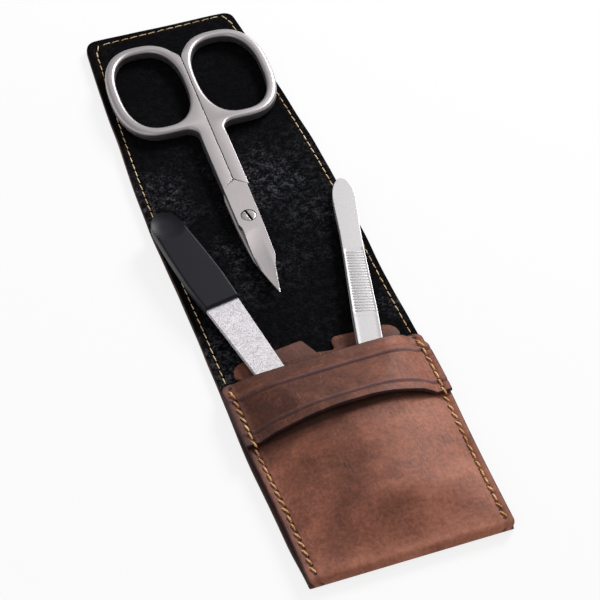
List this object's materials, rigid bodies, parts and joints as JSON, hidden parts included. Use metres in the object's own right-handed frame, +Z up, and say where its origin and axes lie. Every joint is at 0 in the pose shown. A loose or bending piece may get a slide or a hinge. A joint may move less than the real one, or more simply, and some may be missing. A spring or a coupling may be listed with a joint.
{
  "type": "manicure set case",
  "caption": "Folding leather manicure case lying open, with suede lining, front pocket and retaining band, holding nail scissors, a nail file and tweezers.",
  "frame": {"origin": "middle of the underside of the back panel, which lies flat on the table", "axes": "+Z up from the table; +Y along the opened case from the pocket towards the flap's end; +X across the case to the right, the tweezers' side"},
  "size_m": [0.0511, 0.183, 0.011],
  "materials": {
    "outer_leather": "waxed, scuffed",
    "suede_lining": "napped",
    "thread": "waxed",
    "scissors_steel": "satin",
    "file_plastic": "matt",
    "file_steel": "satin",
    "file_grit": "sparkling grit",
    "tweezers_steel": "satin"
  },
  "bodies": {
    "case": {"back_panel": "outer_leather", "back_lining": "suede_lining", "pocket_front": "outer_leather", "retaining_band": "outer_leather", "tool_insert": "outer_leather", "pocket_thread": "thread", "back_thread": "thread"},
    "spine": {"spine_panel": "outer_leather", "spine_lining": "suede_lining", "spine_thread": "thread"},
    "flap": {"flap_panel": "outer_leather", "flap_lining": "suede_lining", "flap_thread": "thread"},
    "scissors_lower": {"scissors_lower_half": "scissors_steel", "scissors_screw": "scissors_steel"},
    "scissors_upper": {"scissors_upper_half": "scissors_steel"},
    "file": {"file_handle": "file_plastic", "file_blade": "file_steel", "file_abrasive": "file_grit"},
    "tweezers_lower": {"tweezers_lower_arm": "tweezers_steel", "tweezers_weld": "tweezers_steel"},
    "tweezers_upper": {"tweezers_upper_arm": "tweezers_steel"}
  },
  "joints": [
    {"name": "spine_fold", "type": "hinge", "parent": "case", "child": "spine", "pos_m": [0, 0.054, 0.002], "axis": [1, 0, 0], "range_deg": [0, 90]},
    {"name": "flap_fold", "type": "hinge", "parent": "spine", "child": "flap", "pos_m": [0, 0.066, 0.002], "axis": [1, 0, 0], "range_deg": [0, 93]},
    {"name": "scissors_lift", "type": "hinge", "parent": "case", "child": "scissors_lower", "pos_m": [0, -0.024, 0.002], "axis": [1, 0, 0], "range_deg": [0, 90.5]},
    {"name": "scissors_open", "type": "hinge", "parent": "scissors_lower", "child": "scissors_upper", "pos_m": [-0.0012, 0.0538, 0.00385], "axis": [0, 0, 1], "range_deg": [0, 35]},
    {"name": "file_draw", "type": "slide", "parent": "case", "child": "file", "axis": [0.1702, -0.9854, 0], "range_m": [0, 0.0131]},
    {"name": "tweezers_draw", "type": "slide", "parent": "case", "child": "tweezers_lower", "axis": [-0.2284, -0.9736, 0], "range_m": [0, 0.0091]},
    {"name": "tweezers_squeeze", "type": "hinge", "parent": "tweezers_lower", "child": "tweezers_upper", "pos_m": [0.02267, 0.05041, 0.00415], "axis": [0.9736, -0.2284, 0], "range_deg": [0, 1.1], "stiffness_Nm_per_rad": 2}
  ],
  "couplings": [
    {"joint": "flap_fold", "follows": "spine_fold", "ratio": 1.03},
    {"joint": "scissors_lift", "follows": "spine_fold", "ratio": 1},
    {"joint": "file_draw", "follows": "spine_fold", "m_per_rad": 0.00827},
    {"joint": "tweezers_draw", "follows": "spine_fold", "m_per_rad": 0.00573}
  ]
}
